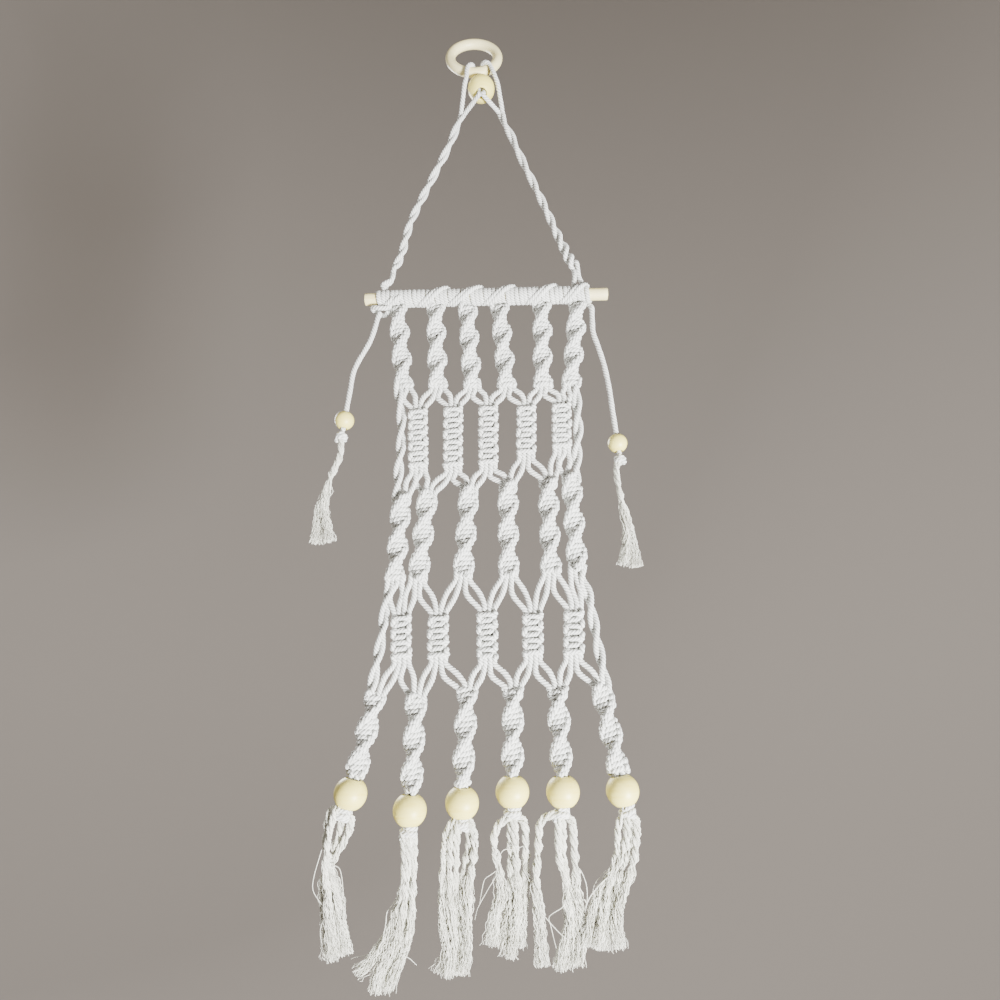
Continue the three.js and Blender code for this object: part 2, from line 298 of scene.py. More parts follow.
def mesh_object(name, points, quads, caps, values=()):
    """A smooth-shaded mesh object; caps are faces of any size, values are point attributes."""
    a, b, c, d = (points[quads[:, corner]] for corner in range(4))
    volume = np.einsum("ij,ij->", np.cross(b - a, c - a) + np.cross(c - a, d - a), a)
    turn = -1 if volume < 0 else 1
    faces = [face[::turn] for face in quads.tolist() + [list(cap) for cap in caps]]
    mesh = bpy.data.meshes.new(name)
    mesh.from_pydata(points.tolist(), [], faces)
    mesh.polygons.foreach_set("use_smooth", np.ones(len(faces), bool))
    for label, kind, data in values:
        attribute = mesh.attributes.new(label, kind, "POINT")
        field = "value" if kind == "FLOAT" else "vector"
        attribute.data.foreach_set(field, np.asarray(data, np.float32).ravel())
    mesh.update()
    made = bpy.data.objects.new(name, mesh)
    bpy.context.scene.collection.objects.link(made)
    return made


def cord_object(name, cords, reshape=None):
    """One object of several three-ply cords. `groove` is 1 between plies and 0 on a crown;
    `fibre` runs round and along each cord."""
    section = PLY_SECTION * (POINTS_ROUND // len(PLY_SECTION))
    depth = (1 - np.asarray(section)) / (1 - min(section))
    tubes, groove, fibre = [], [], []
    for made in cords:
        travelled = made.travelled + np.arange(len(made.line)) * STEP
        wander = 1 + UNEVEN * np.sin(travelled * 460 + made.diameter * 9e3)
        turn = -2 * math.pi * travelled / LAY
        rings, faces, angle = tube(made.line, made.diameter / 2 * wander, section, turn)
        tubes.append((rings, faces))
        groove.append(np.tile(depth, len(angle)))
        run = np.concatenate([travelled[:1], travelled, travelled[-1:]])
        run = np.broadcast_to(run[:, None], angle.shape)
        fibre.append(np.stack([np.cos(angle), np.sin(angle), run * 1000], axis=-1).reshape(-1, 3))
    points, quads, caps = gather(tubes, POINTS_ROUND)
    if reshape:
        points = reshape(points)
    values = (
        ("groove", "FLOAT", np.concatenate(groove)),
        ("fibre", "FLOAT_VECTOR", np.vstack(fibre)),
    )
    made = mesh_object(name, points, quads, caps, values)
    made.data.materials.append(cotton)
    return made


THREAD_SIDES = 4
THREAD_RANGE = (0.75, 1.25)  # from the thinnest to the thickest
THREAD_TAPER = 0.45  # share of its thickness that a thread loses at its end


def thread_object(name, threads):
    """One object of many thin threads. `thread` is a number that each thread has for itself."""
    tubes, thread = [], []
    for line in threads:
        share = np.linspace(0, 1, len(line))
        radius = THREAD / 2 * chance.uniform(*THREAD_RANGE) * (1 - THREAD_TAPER * share**3)
        rings, faces, _ = tube(line, radius, (1.0,) * THREAD_SIDES, share * 3)
        tubes.append((rings, faces))
        thread.append(np.full(len(rings), chance.uniform()))
    values = (("thread", "FLOAT", np.concatenate(thread)),)
    return mesh_object(name, *gather(tubes, THREAD_SIDES), values)


# ---- materials


class Finish:
    """A new material with helpers that add and link its nodes."""

    def __init__(self, name, roughness, **sockets):
        self.material = bpy.data.materials.new(name)
        self.material.use_nodes = True
        self.tree = self.material.node_tree
        self.shader = self.tree.nodes["Principled BSDF"]
        self.shader.inputs["Roughness"].default_value = roughness
        for label, value in sockets.items():
            self.shader.inputs[label.replace("_", " ")].default_value = value

    def node(self, kind, inputs=(), **settings):
        made = self.tree.nodes.new(kind)
        for label, value in settings.items():
            setattr(made, label, value)
        for socket, value in dict(inputs).items():
            if isinstance(value, bpy.types.NodeSocket):
                self.tree.links.new(value, made.inputs[socket])
            else:
                made.inputs[socket].default_value = value
        return made

    def attribute(self, name):
        return self.node("ShaderNodeAttribute", attribute_name=name)

    def coordinates(self, scale=(1, 1, 1), source=None):
        if source is None:
            source = self.node("ShaderNodeTexCoord").outputs["Object"]
        return self.node("ShaderNodeMapping", {"Vector": source, "Scale": scale}).outputs["Vector"]

    def noise(self, vector, scale, detail=2.0, roughness=0.5):
        inputs = {"Vector": vector, "Scale": scale, "Detail": detail, "Roughness": roughness}
        return self.node("ShaderNodeTexNoise", inputs).outputs["Fac"]

    def ramp(self, value, *stops):
        made = self.node("ShaderNodeValToRGB", {"Fac": value})
        made.color_ramp.elements[0].position = stops[0][0]
        made.color_ramp.elements[0].color = (*stops[0][1], 1)
        made.color_ramp.elements[1].position = stops[-1][0]
        made.color_ramp.elements[1].color = (*stops[-1][1], 1)
        for place, colour in stops[1:-1]:
            made.color_ramp.elements.new(place).color = (*colour, 1)
        return made.outputs["Color"]

    def mix(self, amount, first, second, blend="MIX"):
        """Mixed colours; a mix node's sockets for colours are told apart by their numbers."""
        inputs = {0: amount, 6: first, 7: second}
        return self.node("ShaderNodeMix", inputs, data_type="RGBA", blend_type=blend).outputs[2]

    def maths(self, operation, *values):
        inputs = dict(enumerate(values))
        return self.node("ShaderNodeMath", inputs, operation=operation).outputs[0]

    def colour(self, socket):
        self.tree.links.new(socket, self.shader.inputs["Base Color"])

    def bump(self, height, distance, strength=1.0):
        inputs = {"Height": height, "Distance": distance, "Strength": strength}
        made = self.node("ShaderNodeBump", inputs)
        self.tree.links.new(made.outputs["Normal"], self.shader.inputs["Normal"])


COTTON = {"roughness": 0.95, "Sheen_Roughness": 0.5, "Specular_IOR_Level": 0.15}


def cotton_finish():
    """Matt off-white cotton with painted shade that darkens the grooves between plies; fine fibres
    run along the cord.
    """
    finish = Finish("cotton_cord", **COTTON, Sheen_Weight=0.25)
    fibre = finish.attribute("fibre").outputs["Vector"]
    groove = finish.attribute("groove").outputs["Fac"]
    streaks = finish.noise(finish.coordinates((5, 5, 0.55), fibre), 1.0, 3.0, 0.6)
    patches = finish.noise(finish.coordinates(), 55.0, 2.0)
    tone = finish.ramp(patches, (0.3, (0.80, 0.815, 0.785)), (0.7, (0.90, 0.91, 0.88)))
    shade = finish.ramp(streaks, (0.25, (0.88, 0.875, 0.86)), (0.75, (1.0, 1.0, 1.0)))
    tone = finish.mix(1.0, tone, shade, "MULTIPLY")
    # painted shade: the grooves between plies are darkened towards dark grey
    groove_shade = finish.maths("POWER", groove, 1.5)
    finish.colour(finish.mix(groove_shade, tone, (0.27, 0.27, 0.25, 1)))
    finish.bump(streaks, 0.0004, 0.6)
    return finish.material


def fringe_finish():
    """Loose cotton yarn, each thread a little lighter or darker."""
    finish = Finish("cotton_fringe", **COTTON, Sheen_Weight=0.3)
    thread = finish.attribute("thread").outputs["Fac"]
    patches = finish.noise(finish.coordinates(), 90.0, 3.0)
    tone = finish.ramp(thread, (0.0, (0.62, 0.615, 0.54)), (1.0, (0.88, 0.88, 0.79)))
    shade = finish.ramp(patches, (0.3, (0.82, 0.815, 0.79)), (0.7, (1.0, 1.0, 1.0)))
    finish.colour(finish.mix(1.0, tone, shade, "MULTIPLY"))
    finish.bump(patches, 0.0003, 0.5)
    return finish.material


def wood_finish(name, pale, dark, stretch, roughness):
    """Pale satin wood; the grain runs along the axis that `stretch` makes small."""
    finish = Finish(name, roughness, Coat_Weight=0.12, Coat_Roughness=0.35)
    grain = finish.noise(finish.coordinates(stretch), 1.0, 5.0, 0.55)
    clouds = finish.noise(finish.coordinates(), 38.0, 2.0)
    colour = finish.ramp(grain, (0.32, dark), (0.5, pale), (0.72, tuple(0.96 * c for c in pale)))
    tint = finish.ramp(clouds, (0.3, (0.96, 0.95, 0.92)), (0.7, (1.0, 1.0, 1.0)))
    finish.colour(finish.mix(1.0, colour, tint, "MULTIPLY"))
    rough = finish.node(
        "ShaderNodeMapRange",
        {"Value": grain, "To Min": roughness + 0.12, "To Max": roughness - 0.05},
    )
    finish.tree.links.new(rough.outputs["Result"], finish.shader.inputs["Roughness"])
    finish.bump(grain, 0.0002, 0.25)
    return finish.material


# Each wood's pale and dark tone, how close its grain lies along each axis, and its roughness.
WOODS = {
    "ring_wood": ((0.88, 0.80, 0.44), (0.82, 0.72, 0.36), (60, 60, 260), 0.42),
    "bead_wood": ((0.90, 0.80, 0.23), (0.84, 0.72, 0.17), (70, 70, 420), 0.42),
    "dowel_wood": ((0.88, 0.79, 0.42), (0.78, 0.66, 0.30), (22, 420, 420), 0.6),
}
cotton = cotton_finish()
fringe = fringe_finish()
woods = {name: wood_finish(name, *look) for name, look in WOODS.items()}

# ---- places read from the frame


def points_of(node):
    return np.array([v.co for v in frame["nodes"][node].data.vertices])


def box_centre(node):
    low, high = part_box(node)
    return (np.array(low) + np.array(high)) / 2


END_RING = 0.004  # points this near a solid's top or bottom belong to that end


def ends_of(node, proud=0.0):
    """Middle of a node's top and of its bottom, among its points at least `proud` off the
    plane y = 0."""
    points = points_of(node)
    points = points[np.abs(points[:, 1]) >= proud]
    high = points[points[:, 2] > points[:, 2].max() - END_RING].mean(axis=0)
    low = points[points[:, 2] < points[:, 2].min() + END_RING].mean(axis=0)
    return high * (1, 0, 1), low * (1, 0, 1)


class Sinnet:
    """Where a sinnet lies: its top, its length and its directions down and across."""

    def __init__(self, top, bottom):
        run = bottom - top
        self.top = top
        self.length = float(np.linalg.norm(run))
        self.down = run / self.length
        self.across = np.array([-self.down[2], 0.0, self.down[0]])

    def at(self, across, forward, along):
        """A point given from the top of the sinnet; each value may be a column of numbers."""
        across, forward, along = (np.asarray(v, float)[..., None] for v in (across, forward, along))
        return self.top + self.across * across + FORWARD * forward + self.down * along


def hinge(name):
    """A joint's point, and the direction that runs down across its axis."""
    joint = next(j for j in frame["joints"] if j["name"] == name)
    down = np.cross(joint["axis"], (0.0, 1.0, 0.0))
    if np.linalg.norm(down) < 0.5:
        down = np.array((0.0, 0.0, -1.0))
    return np.array(joint["pos_m"]), down if down[2] < 0 else -down


def bend_over(piece, upper, lower, joint, before=0.004, after=0.004):
    """Bake a piece's place into its mesh."""
    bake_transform(piece)


def stand_for(piece, node, body):
    """A piece takes the place of a node and moves with a body."""
    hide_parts(node)
    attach(piece, body)


# ---- knots


def working_line(sinnet, way, start, end, shift, knot, side, front, half_turn=None, phase=0.0):
    """A working cord's line from half knot `start` to `end`; `shift` moves it on in its way."""
    cycles = range((math.floor(start) - 4) // 2 * 2, math.ceil(end) + 4, 2)
    keys = [(cycle + key[0] + shift, key[1], key[2]) for cycle in cycles for key in way]
    keys = np.array([k for k in keys if start - PAST_END < k[0] < end + PAST_END])
    loose = chance.normal(0, 1, keys.shape) * LOOSE
    keys = smooth(keys + loose, 8)
    keys = keys[(keys[:, 0] > start) & (keys[:, 0] < end)]
    along = keys[:, 0] * knot
    across, forward = keys[:, 1] * side, keys[:, 2] * front
    if half_turn:
        angle = math.pi * (along / half_turn + phase)
        across, forward = (
            across * np.cos(angle) - forward * np.sin(angle),
            across * np.sin(angle) + forward * np.cos(angle),
        )
    return evenly(sinnet.at(across, forward, along))


def core_lines(sinnet, start, end, half_turn=None, phase=0.0):
    along = np.linspace(start, end, 24)
    lines = []
    for side in (-CORE_SIDE, CORE_SIDE):
        angle = math.pi * (along / half_turn + phase) if half_turn else along * 0
        lines.append(evenly(sinnet.at(side * np.cos(angle), side * np.sin(angle), along)))
    return lines


def spiral_cords(sinnet, before=0.002, after=0.0015, phase=0.0):
    """A spiral sinnet: the same half knot over and over, so that its front turns away."""
    start = -before / SPIRAL_KNOT
    end = (sinnet.length + after) / SPIRAL_KNOT
    cores = core_lines(sinnet, -before, sinnet.length + after, HALF_TURN, phase)
    made = [Cord(line, KNOTTED_CORD) for line in cores]
    for shift in (0, 1):
        shape = (SPIRAL_KNOT, SPIRAL_SIDE, SPIRAL_FRONT, HALF_TURN, phase)
        line = working_line(sinnet, SPIRAL_WAY, start, end, shift, *shape)
        made.append(Cord(line, SPIRAL_CORD))
    return made


def square_cords(sinnet):
    """A square-knot sinnet: half knots to the left and to the right by turns."""
    count = round(sinnet.length / SQUARE_KNOT)
    knot = sinnet.length / count
    made = [Cord(line, KNOTTED_CORD) for line in core_lines(sinnet, 0.0, sinnet.length)]
    for way, diameter in ((SQUARE_FRONT_WAY, SQUARE_BAR), (SQUARE_BACK_WAY, KNOTTED_CORD)):
        shape = (knot, SQUARE_SIDE, SQUARE_FRONT)
        made.append(Cord(working_line(sinnet, way, 0.0, count, 0, *shape), diameter))
    return made


# The two cords that go from an upper sinnet to a lower one. The one that leaves near the
# middle comes in at the lower one's side, and the one from the side becomes a core.
INNER = 0.0019  # how far from the middle the first one leaves,
OUTER = 0.0051  # and the second
SIDE_ENTRY = 0.0045  # how far below its top a sinnet takes the cords at its sides
CORE_ENTRY = 0.0005  # and its core cords
SIDE_TIP = (0.45, 0.0028, 0.0012)  # its end: share of its distance aside, forward, further down
CORE_TIP = (1, 0.0, 0.003)
LINK_TUCK = 0.004  # a link starts this far up in its sinnet, and leaves as far below it
LINK_TURN = 0.0065  # it turns down this far above its entry
LINK_LOOSE = 0.0004
INNER_BOW = (0.0042, 0.0016)  # how far the cord from the middle sags, going right and left
OUTER_BOW = 0.0014  # how far the cord from the side bows up


def link_cords(upper, lower, side):
    """side is +1 where the lower sinnet lies to the right of the upper one."""
    last = upper.length
    routes = []
    sag = INNER_BOW[0] if side > 0 else INNER_BOW[1]
    for leave, arrive, entry, bow, tip in (
        (INNER, -SQUARE_SIDE, SIDE_ENTRY, sag, SIDE_TIP),
        (OUTER, -CORE_SIDE, CORE_ENTRY, -OUTER_BOW, CORE_TIP),
    ):
        away = upper.at(side * leave, 0.0, last + LINK_TUCK)
        into = lower.at(side * arrive, 0.0, entry - LINK_TURN)
        loose = FORWARD * chance.normal(0, LINK_LOOSE)
        route = [
            upper.at(side * leave * 0.9, 0.0, last - LINK_TUCK),
            upper.at(side * leave * 0.98, 0.0005, last),
            away,
            (away + into) / 2 - upper.across * side * bow + loose,
            into,
            lower.at(side * arrive * 0.98, 0.0004, entry - 0.001),
            lower.at(side * arrive * tip[0], tip[1], entry + tip[2]),
        ]
        routes.append(cord(route))
    return routes


EDGE_SIDE = 0.0035  # an edge pair leaves and enters its spirals this far from the middle
EDGE_RADIUS = 0.0020
EDGE_PITCHES = (0.046, 0.040)


def edge_pair(upper, lower, side, route):
    """Two cords wound round each other down the edge of the net, from one spiral to another."""
    first = upper.at(side * EDGE_SIDE, 0.0, upper.length - 0.002)
    last = lower.at(side * EDGE_SIDE, 0.0, 0.003)
    start = chance.uniform(0, 3)
    lines = twisted([first, *route, last], (EDGE_RADIUS, EDGE_RADIUS), EDGE_PITCHES, start)
    return [Cord(evenly(line)) for line in lines]


# ---- side strands

# Centre lines of the two free cords, as the frame's own cords lie, in (x, z) millimetres.
SIDE_ROUTES = {
    "left": (
        (-71.5, -253.5), (-73, -258), (-75, -267), (-78, -277.5), (-82.5, -287), (-86.5, -295),
        (-90, -305), (-91.5, -318), (-93.5, -334), (-95.5, -351),
    ),
    "right": (
        (94, -249), (94, -260), (94.5, -271), (98, -283), (102, -298.5), (105, -317),
        (106.8, -334), (108.8, -352), (110.5, -369),
    ),
}


def add_side_cord(side):
    line = evenly(smooth(plane_points(SIDE_ROUTES[side])))
    piece = cord_object(f"side_cord_{side}_rope", [Cord(line)])
    stand_for(piece, f"side_cord_{side}", f"side_strand_{side}")
    return piece, line


add_camera()
side_cords = {side: add_side_cord(side) for side in SIDE_ROUTES}

# ---- wood


def lathe(name, profile, steps, to_world, closed=True):
    """Turn a profile of (radius, height) points round its Z axis. An open profile's first and
    last rings become flat ends."""
    profile = np.asarray(profile, float)
    count = len(profile)
    angle = np.arange(steps) * 2 * math.pi / steps
    radius, height = profile[:, :1], profile[:, 1:]
    points = [radius * np.cos(angle), radius * np.sin(angle), height + angle * 0]
    points = np.stack(points, axis=-1).reshape(-1, 3) @ to_world[:3, :3].T + to_world[:3, 3]
    ends = [] if closed else [range(steps - 1, -1, -1), range((count - 1) * steps, count * steps)]
    return mesh_object(name, points, faces_between(count, steps, closed), ends)


def placed(centre, axis):
    """A matrix that stands a turned piece's own Z axis along `axis` at `centre`."""
    turn = Vector((0, 0, 1)).rotation_difference(Vector(axis)).to_matrix()
    matrix = np.eye(4)
    matrix[:3, :3] = turn
    matrix[:3, 3] = centre
    return matrix


def arc(centre, radius, start, end, steps):
    angle = np.linspace(start, end, steps + 1)
    return [(centre[0] + radius * math.cos(a), centre[1] + radius * math.sin(a)) for a in angle]


def turned_piece(piece, wood, node, body):
    """Give a turned piece its wood, its node's place and its body."""
    piece.data.materials.append(woods[wood])
    stand_for(piece, node, body)
    return piece


BALL_STOPS = 1.12  # the ball stops this far out from its bore, as a share of the bore's angle
RIM = 0.06  # rounding of a bore's rims, as a share of the bead's diameter


def bead_profile(diameter, bore):
    """Half section of a bead whose bore has softened rims."""
    rim = math.asin(bore / diameter)
    stop = math.pi / 2 - rim * BALL_STOPS
    ball = arc((0, 0), diameter / 2, -stop, stop, 40)
    height = diameter / 2 * math.cos(rim)
    soft = RIM * diameter
    mouth = arc((bore / 2 + soft / 2, height - soft), soft / 2, math.pi * 0.35, math.pi, 6)
    foot = [(radius, -z) for radius, z in reversed(mouth)]
    return foot + ball + mouth


def add_bead(node, body, bore, axis):
    low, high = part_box(node)
    profile = bead_profile(high[0] - low[0], bore)[::-1]
    bead = lathe(f"{node}_turned", profile, 64, placed(box_centre(node), axis))
    return turned_piece(bead, "bead_wood", node, body)


RING_MIDDLE = 0.012  # points this far above or below the ring's centre show which way it leans


def ring_frame():
    """Centre of the ring and its unit vectors up, in its own plane, and out of its front."""
    points = points_of("ring")
    centre = box_centre("ring")
    high = points[points[:, 2] > centre[2] + RING_MIDDLE].mean(axis=0)
    low = points[points[:, 2] < centre[2] - RING_MIDDLE].mean(axis=0)
    up = (high - low) * (0, 1, 1)
    up /= np.linalg.norm(up)
    return centre, up, np.cross(up, (1.0, 0.0, 0.0)) * -1


def ring_radius():
    """From the ring's centre to the middle of its tube."""
    low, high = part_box("ring")
    return (high[0] - low[0] - RING_TUBE) / 2


def add_ring():
    centre, _, front = ring_frame()
    profile = arc((ring_radius(), 0), RING_TUBE / 2, 0, 2 * math.pi, 28)[:-1]
    ring = lathe("ring_turned", profile, 128, placed(centre, front))
    turned_piece(ring, "ring_wood", "ring", "support")


DOWEL_FACE = 0.002  # points this near an end of the dowel belong to its face
SAWN = 0.0004  # the sawn rims are a little rounded


def add_dowel():
    """The dowel. Returns its left end and its direction."""
    points = points_of("dowel")
    left = points[points[:, 0] < points[:, 0].min() + DOWEL_FACE].mean(axis=0)
    right = points[points[:, 0] > points[:, 0].max() - DOWEL_FACE].mean(axis=0)
    run = right - left
    half = float(np.linalg.norm(run)) / 2
    radius = DOWEL / 2
    end = [
        (0.0002, 0),
        (radius * 0.6, 0),
        (radius - SAWN * 1.2, 0),
        (radius - SAWN * 0.3, SAWN * 0.3),
        (radius, SAWN * 1.2),
    ]
    body = [(radius, z) for z in np.linspace(0.004, 2 * half - 0.004, 60)]
    far = [(r, 2 * half - z) for r, z in reversed(end)]
    profile = [(r, z - half) for r, z in end + body + far]
    dowel = lathe("dowel_turned", profile, 48, placed((left + right) / 2, run), closed=False)
    turned_piece(dowel, "dowel_wood", "dowel", "bar")
    return left, run / np.linalg.norm(run)


add_ring()
dowel_left, dowel_way = add_dowel()

# ---- hanger


# Places along the top bead's bore that the hanger's cords run through.
THROUGH_BEAD = (-0.0125, -0.006, 0.004, 0.0105, 0.0135)
TOP_BORE_WAY = (0, -math.sin(TOP_BEAD_LEAN), -math.cos(TOP_BEAD_LEAN))
BESIDE_MIDDLE = 0.52  # of its thickness: how far each cord lies from the bore's middle
LEG_POINTS = 0.0028  # distance between the points taken from a wound leg
ON_RIM = 0.47  # of its thickness: how far a cord's middle lies off the ring


def round_rim(degrees, turns):
    """Points of a cord laid over the ring's lower rim: `degrees` along the ring from its
    foot, and `turns` round its tube from the front over the inner side to the back."""
    centre, up, front = ring_frame()
    reach = RING_TUBE / 2 + CORD * ON_RIM
    points = []
    for at, turn in zip(np.radians(degrees), np.radians(turns)):
        outward = np.array((math.sin(at), 0, 0)) - up * math.cos(at)
        off_tube = (front * math.cos(turn) - outward * math.sin(turn)) * reach
        points.append(centre + outward * ring_radius() + off_tube)
    return points


def add_hanger_leg(side, beside, rim, leg, pitches, radii, foot):
    """One cord: up the leg, beside the bead, over the ring, through the bead and down the leg
    again, wound round its own first half."""
    sign = -1 if side == "left" else 1
    first, second = twisted(leg, radii, pitches)
    outer, inner = (first, second) if sign < 0 else (second, first)
    bead, bore = box_centre("top_bead"), np.array(TOP_BORE_WAY)
    shift = np.array((sign * CORD * BESIDE_MIDDLE, 0, 0))
    through = [bead + shift + bore * along for along in THROUGH_BEAD]
    every = round(LEG_POINTS / STEP)
    route = [*foot[0], *outer[::-every], *beside, *rim, *through, *inner[::every], *foot[1]]
    piece = cord_object(f"hanger_cord_{side}_rope", [cord(route, KNOTTED_CORD)])
    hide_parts(f"hanger_cord_{side}")
    bend_over(piece, "support", "hanger", "hanger_swing", before=-0.001, after=0.007)


add_bead("top_bead", "hanger", TOP_BORE, TOP_BORE_WAY)
add_hanger_leg(
    "left",
    in_metres([(-8.3, -10, -58), (-7.4, -12.6, -51.5), (-5.8, -14.4, -45)]),
    round_rim((-13, -9, -4, 0, 4, 7, 8), (-25, 15, 55, 95, 135, 170, 195)),
    plane_points(
        [(-9, -68.5), (-14, -82), (-20, -100), (-30, -124), (-41, -150), (-50.5, -175),
         (-56.5, -203), (-62.5, -217)]
    ),
    (0.050, 0.044, 0.034, 0.026),
    (0.0015, 0.0014, 0.0014, 0.0015),
    (
        plane_points(
            [(-69.5, -238), (-69, -233.5), (-70, -230.5), (-67, -228), (-63.3, -226), (-62.3, -222)],
            -1.5,
        ),
        plane_points([(-64, -225.5), (-67.5, -229), (-67.5, -234), (-65, -238)], 1.5),
    ),
)
add_hanger_leg(
    "right",
    in_metres([(21.6, -9.5, -56), (19.8, -12.6, -48.5), (17.2, -14.4, -42)]),
    round_rim((37, 35, 32, 29, 26, 23, 20), (-25, 15, 55, 95, 135, 170, 195)),
    plane_points(
        [(22.5, -66.5), (26, -78), (31.5, -90.5), (39, -110.5), (46.5, -129), (55.5, -151),
         (62.5, -169), (69, -186), (74, -198), (77.5, -206.5), (82, -213.5)]
    ),
    (0.050, 0.048, 0.042, 0.032, 0.0135),
    (0.0015, 0.0014, 0.0014, 0.0015, 0.0029),
    (
        plane_points([(80, -238), (80.4, -230), (81, -222)], -1),
        plane_points([(84.5, -221), (87.5, -229), (88.5, -238)], 1),
    ),
)

# ---- cords on the dowel

# The pairs of cord that cross the turns: from where to where along the dowel, in millimetres,
# and the share of the sweep that they make.
DIAGONALS = (
    (-66, -42, 0.45), (-38, -18, 1), (-15, 8.5, 1), (13, 34, 1), (46.5, 66.5, 1), (73, 91, 1),
)
CROSSING_FROM = -115  # degrees up from the front
CROSSING_SWEEP = 250
CROSSING_PAIR = ((0, 0.0006), (-3.4, 0.0012))  # each cord: millimetres aside, metres sunk
# Shares of a crossing's way, and how far it lies off the turns there.
CROSSING_SHARES = (0, 0.15, 0.5, 0.76, 1)
CROSSING_RISE = (-0.0022, 0.0006, 0.0006, 0.0011, -0.0022)


def at_dowel(x, angle, reach):
    """A point at distance `reach` from the dowel's axis, at an angle up from its front."""
    x, angle, reach = (np.asarray(v, float)[..., None] for v in (x, angle, reach))
    on_axis = dowel_left + dowel_way * ((x - dowel_left[0]) / dowel_way[0])
    return on_axis + reach * (FORWARD * np.cos(angle) + np.array((0, 0, 1.0)) * np.sin(angle))


def press_onto_dowel(points):
    """Flatten wound cord onto the dowel."""
    on_axis = dowel_left + np.outer((points - dowel_left) @ dowel_way, dowel_way)
    away = points - on_axis
    reach = np.linalg.norm(away, axis=1)
    kept = DOWEL / 2 + (reach - DOWEL / 2) * (WRAP_OUTER - DOWEL / 2) / CORD
    return on_axis + away * (kept / reach)[:, None]


def add_wraps():
    """The wound cord, and the pairs that cross its turns on their way to the spirals."""
    low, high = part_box("dowel_wrap")
    x = np.arange(low[0] + CORD / 2, high[0] - CORD / 2 + WRAP_PAST, WRAP_PITCH / 40)
    turns = 2 * math.pi * (x - x[0]) / WRAP_PITCH
    wander = 0.0003 * np.sin(x * 700) + 0.0002 * np.sin(x * 1630 + 1)
    lean = 0.0008 * np.sin(turns)
    reach = DOWEL / 2 + CORD / 2 + 0.0001 * np.sin(x * 2100)
    coil = Cord(evenly(at_dowel(x + wander + lean, -turns - math.pi / 2, reach)), WRAP_CORD)
    wraps = cord_object("dowel_wraps", [coil], press_onto_dowel)
    stand_for(wraps, "dowel_wrap", "bar")

    crossings = []
    for from_x, to_x, done in DIAGONALS:
        share = np.linspace(0, done, 13)
        angle = np.radians(CROSSING_FROM + CROSSING_SWEEP * share)
        for beside, sunk in CROSSING_PAIR:
            across = np.interp(share, (0, 0.12, 0.80, 1), (from_x - 1, from_x, to_x, to_x + 2))
            rise = np.interp(share / done, CROSSING_SHARES, CROSSING_RISE)
            reach = WRAP_OUTER + rise - sunk
            crossings.append(cord(at_dowel((across + beside) / 1000, angle, reach), KNOTTED_CORD))
    over = cord_object("dowel_crossing_cords", crossings)
    stand_for(over, "dowel_wrap", "bar")


add_wraps()

# ---- the net

# How far each spiral has turned at its top, in half turns.
SPIRAL_PHASE = {
    1: (0.05, 0.05, -0.15, 0.03, 0.08, 0.15),
    3: (0.32, -0.38, 0.50, 0.36, 0.21, 0.52),
    5: (-0.10, -0.24, 0.05, 0.12, 0.14, -0.36),
}
SQUARE_PROUD = 0.0042  # only a square's own front and back stand this far off the plane
SQUARE_TOP = 0.002  # the first bar lies this far below the solid's own edge
SQUARE_FOOT = {2: 0.001, 4: 0.004}  # and the last bar this far below its other edge


def add_spirals(row, body):
    sinnets = []
    for i, phase in enumerate(SPIRAL_PHASE[row], 1):
        node = f"spiral_{row}_{i}"
        sinnet = Sinnet(*ends_of(node))
        piece = cord_object(f"{node}_knots", spiral_cords(sinnet, phase=phase))
        stand_for(piece, node, body)
        sinnets.append(sinnet)
    return sinnets


def add_squares(row, body):
    sinnets = []
    for i in range(1, 6):
        node = f"square_{row}_{i}"
        top, bottom = ends_of(node, SQUARE_PROUD)
        sinnet = Sinnet(top - (0, 0, SQUARE_TOP), bottom - (0, 0, SQUARE_FOOT[row]))
        piece = cord_object(f"{node}_knots", square_cords(sinnet))
        stand_for(piece, node, body)
        sinnets.append(sinnet)
    return sinnets


def fold(row, place, strand):
    """The bodies above and below a row's links, and the joint between them."""
    return {
        (2, "above"): ("bar", "row_2", "fold_below_row_1"),
        (2, "below"): ("row_2", "row_3", "fold_above_row_3"),
        (4, "above"): ("row_3", "row_4", "fold_below_row_3"),
        (4, "below"): ("row_4", f"strand_{strand}", f"strand_{strand}_swing"),
    }[row, place]


def add_links(row, place, uppers, lowers):
    """The cords above or below a row of square knots."""
    for i in range(5):
        for side, word in ((-1, "left"), (1, "right")):
            other = i if side < 0 else i + 1
            if place == "below":
                cords = link_cords(uppers[i], lowers[other], side)
            else:
                cords = link_cords(uppers[other], lowers[i], -side)
            piece = cord_object(f"links_{place}_square_{row}_{i + 1}_{word}", cords)
            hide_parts(f"square_{row}_{i + 1}")
            bend_over(piece, *fold(row, place, other + 1))


def add_edge_pair(row, side, upper, lower, route):
    sign, strand = (-1, 1) if side == "left" else (1, 6)
    cords = edge_pair(upper, lower, sign, plane_points(route))
    middle = (upper.at(0, 0, upper.length) + lower.at(0, 0, 0))[2] / 2
    halves = zip(*(made.cut(middle) for made in cords))
    for place, word, half in zip(("above", "below"), ("upper", "lower"), halves):
        piece = cord_object(f"edge_pair_{row}_{side}_{word}", half)
        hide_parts(f"edge_pair_{row}_{side}")
        bend_over(piece, *fold(row, place, strand))


def lower_strand(i):
    """The last row's sinnet ends at its bead."""
    top, _ = ends_of(f"spiral_5_{i}")
    bead = box_centre(f"bead_{i}")
    low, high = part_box(f"bead_{i}")
    way = (bead - top) / np.linalg.norm(bead - top)
    return Sinnet(top, bead - way * (high[2] - low[2]) / 2)


